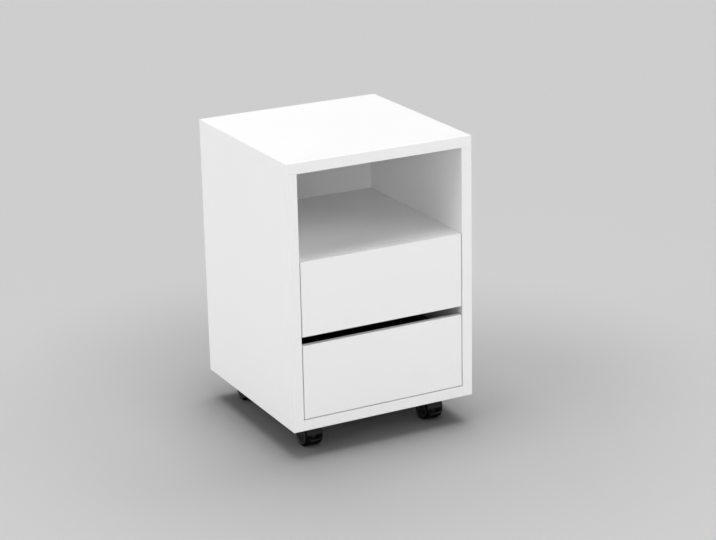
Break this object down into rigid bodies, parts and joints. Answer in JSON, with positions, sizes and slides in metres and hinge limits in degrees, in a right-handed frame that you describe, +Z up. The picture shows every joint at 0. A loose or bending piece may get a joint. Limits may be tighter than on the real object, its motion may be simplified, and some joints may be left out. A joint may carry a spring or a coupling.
{
  "type": "rolling drawer cabinet",
  "caption": "Low white cabinet with an open niche above inset drawers on ball slides, on swivel casters with twin wheels.",
  "frame": {"origin": "on the floor under the middle of the cabinet", "axes": "+Z up, the drawer fronts face -Y, +X to the right as the fronts are faced"},
  "size_m": [0.4, 0.4, 0.6],
  "materials": {
    "white_board": "white melamine-faced board, fine satin",
    "drawer_board": "anthracite melamine-faced board, satin",
    "drawer_floor": "lacquered hardboard",
    "dowel_wood": "raw beech",
    "zinc_steel": "zinc plated sheet",
    "screw_steel": "zinc plated",
    "ball_steel": "polished",
    "caster_plastic": "black moulded nylon",
    "wheel_plastic": "black moulded nylon"
  },
  "bodies": {
    "cabinet": {"top_panel": "white_board", "side_panel_left": "white_board", "side_panel_right": "white_board", "bottom_panel": "white_board", "shelf_panel": "white_board", "back_panel": "white_board", "case_dowels": "dowel_wood", "upper_slide_rail_left": "zinc_steel", "upper_slide_rail_right": "zinc_steel", "lower_slide_rail_left": "zinc_steel", "lower_slide_rail_right": "zinc_steel", "rail_screws": "screw_steel", "caster_plates": "zinc_steel", "caster_pins": "screw_steel", "caster_screws": "screw_steel"},
    "upper_drawer": {"upper_drawer_front": "white_board", "upper_inner_front": "drawer_board", "upper_box_side_left": "drawer_board", "upper_box_side_right": "drawer_board", "upper_box_back": "drawer_board", "upper_drawer_floor": "drawer_floor", "upper_box_screws": "screw_steel", "upper_front_screws": "screw_steel", "upper_slide_runner_left": "zinc_steel", "upper_slide_runner_right": "zinc_steel", "upper_runner_screws": "screw_steel"},
    "lower_drawer": {"lower_drawer_front": "white_board", "lower_inner_front": "drawer_board", "lower_box_side_left": "drawer_board", "lower_box_side_right": "drawer_board", "lower_box_back": "drawer_board", "lower_drawer_floor": "drawer_floor", "lower_box_screws": "screw_steel", "lower_front_screws": "screw_steel", "lower_slide_runner_left": "zinc_steel", "lower_slide_runner_right": "zinc_steel", "lower_runner_screws": "screw_steel"},
    "upper_cage_left": {"upper_ball_cage_left": "ball_steel"},
    "upper_cage_right": {"upper_ball_cage_right": "ball_steel"},
    "lower_cage_left": {"lower_ball_cage_left": "ball_steel"},
    "lower_cage_right": {"lower_ball_cage_right": "ball_steel"},
    "caster_front_left": {"caster_front_left_fork": "caster_plastic", "caster_front_left_pins": "screw_steel"},
    "brake_front_left": {"caster_front_left_brake_pedal": "caster_plastic"},
    "wheel_front_left_left": {"caster_front_left_wheel_left": "wheel_plastic"},
    "wheel_front_left_right": {"caster_front_left_wheel_right": "wheel_plastic"},
    "caster_front_right": {"caster_front_right_fork": "caster_plastic", "caster_front_right_pins": "screw_steel"},
    "brake_front_right": {"caster_front_right_brake_pedal": "caster_plastic"},
    "wheel_front_right_left": {"caster_front_right_wheel_left": "wheel_plastic"},
    "wheel_front_right_right": {"caster_front_right_wheel_right": "wheel_plastic"},
    "caster_rear_left": {"caster_rear_left_fork": "caster_plastic", "caster_rear_left_axle": "screw_steel"},
    "wheel_rear_left_left": {"caster_rear_left_wheel_left": "wheel_plastic"},
    "wheel_rear_left_right": {"caster_rear_left_wheel_right": "wheel_plastic"},
    "caster_rear_right": {"caster_rear_right_fork": "caster_plastic", "caster_rear_right_axle": "screw_steel"},
    "wheel_rear_right_left": {"caster_rear_right_wheel_left": "wheel_plastic"},
    "wheel_rear_right_right": {"caster_rear_right_wheel_right": "wheel_plastic"}
  },
  "joints": [
    {"name": "upper_drawer_slide", "type": "slide", "parent": "cabinet", "child": "upper_drawer", "axis": [0, -1, 0], "range_m": [0, 0.26]},
    {"name": "lower_drawer_slide", "type": "slide", "parent": "cabinet", "child": "lower_drawer", "axis": [0, -1, 0], "range_m": [0, 0.26]},
    {"name": "upper_cage_left_slide", "type": "slide", "parent": "cabinet", "child": "upper_cage_left", "axis": [0, -1, 0], "range_m": [0, 0.13]},
    {"name": "upper_cage_right_slide", "type": "slide", "parent": "cabinet", "child": "upper_cage_right", "axis": [0, -1, 0], "range_m": [0, 0.13]},
    {"name": "lower_cage_left_slide", "type": "slide", "parent": "cabinet", "child": "lower_cage_left", "axis": [0, -1, 0], "range_m": [0, 0.13]},
    {"name": "lower_cage_right_slide", "type": "slide", "parent": "cabinet", "child": "lower_cage_right", "axis": [0, -1, 0], "range_m": [0, 0.13]},
    {"name": "caster_front_left_swivel", "type": "hinge", "parent": "cabinet", "child": "caster_front_left", "pos_m": [-0.136, -0.152, 0.06], "axis": [0, 0, 1], "continuous": true},
    {"name": "brake_front_left_press", "type": "hinge", "parent": "caster_front_left", "child": "brake_front_left", "pos_m": [-0.136, -0.1525, 0.024], "axis": [1, 0, 0], "range_deg": [0, 14]},
    {"name": "wheel_front_left_left_spin", "type": "hinge", "parent": "caster_front_left", "child": "wheel_front_left_left", "pos_m": [-0.136, -0.134, 0.025], "axis": [1, 0, 0], "continuous": true},
    {"name": "wheel_front_left_right_spin", "type": "hinge", "parent": "caster_front_left", "child": "wheel_front_left_right", "pos_m": [-0.136, -0.134, 0.025], "axis": [1, 0, 0], "continuous": true},
    {"name": "caster_front_right_swivel", "type": "hinge", "parent": "cabinet", "child": "caster_front_right", "pos_m": [0.136, -0.152, 0.06], "axis": [0, 0, 1], "continuous": true},
    {"name": "brake_front_right_press", "type": "hinge", "parent": "caster_front_right", "child": "brake_front_right", "pos_m": [0.136, -0.1525, 0.024], "axis": [1, 0, 0], "range_deg": [0, 14]},
    {"name": "wheel_front_right_left_spin", "type": "hinge", "parent": "caster_front_right", "child": "wheel_front_right_left", "pos_m": [0.136, -0.134, 0.025], "axis": [1, 0, 0], "continuous": true},
    {"name": "wheel_front_right_right_spin", "type": "hinge", "parent": "caster_front_right", "child": "wheel_front_right_right", "pos_m": [0.136, -0.134, 0.025], "axis": [1, 0, 0], "continuous": true},
    {"name": "caster_rear_left_swivel", "type": "hinge", "parent": "cabinet", "child": "caster_rear_left", "pos_m": [-0.136, 0.13, 0.06], "axis": [0, 0, 1], "continuous": true},
    {"name": "wheel_rear_left_left_spin", "type": "hinge", "parent": "caster_rear_left", "child": "wheel_rear_left_left", "pos_m": [-0.136, 0.148, 0.025], "axis": [1, 0, 0], "continuous": true},
    {"name": "wheel_rear_left_right_spin", "type": "hinge", "parent": "caster_rear_left", "child": "wheel_rear_left_right", "pos_m": [-0.136, 0.148, 0.025], "axis": [1, 0, 0], "continuous": true},
    {"name": "caster_rear_right_swivel", "type": "hinge", "parent": "cabinet", "child": "caster_rear_right", "pos_m": [0.136, 0.13, 0.06], "axis": [0, 0, 1], "continuous": true},
    {"name": "wheel_rear_right_left_spin", "type": "hinge", "parent": "caster_rear_right", "child": "wheel_rear_right_left", "pos_m": [0.136, 0.148, 0.025], "axis": [1, 0, 0], "continuous": true},
    {"name": "wheel_rear_right_right_spin", "type": "hinge", "parent": "caster_rear_right", "child": "wheel_rear_right_right", "pos_m": [0.136, 0.148, 0.025], "axis": [1, 0, 0], "continuous": true}
  ],
  "couplings": [
    {"joint": "upper_cage_left_slide", "follows": "upper_drawer_slide", "ratio": 0.5},
    {"joint": "upper_cage_right_slide", "follows": "upper_drawer_slide", "ratio": 0.5},
    {"joint": "lower_cage_left_slide", "follows": "lower_drawer_slide", "ratio": 0.5},
    {"joint": "lower_cage_right_slide", "follows": "lower_drawer_slide", "ratio": 0.5}
  ]
}
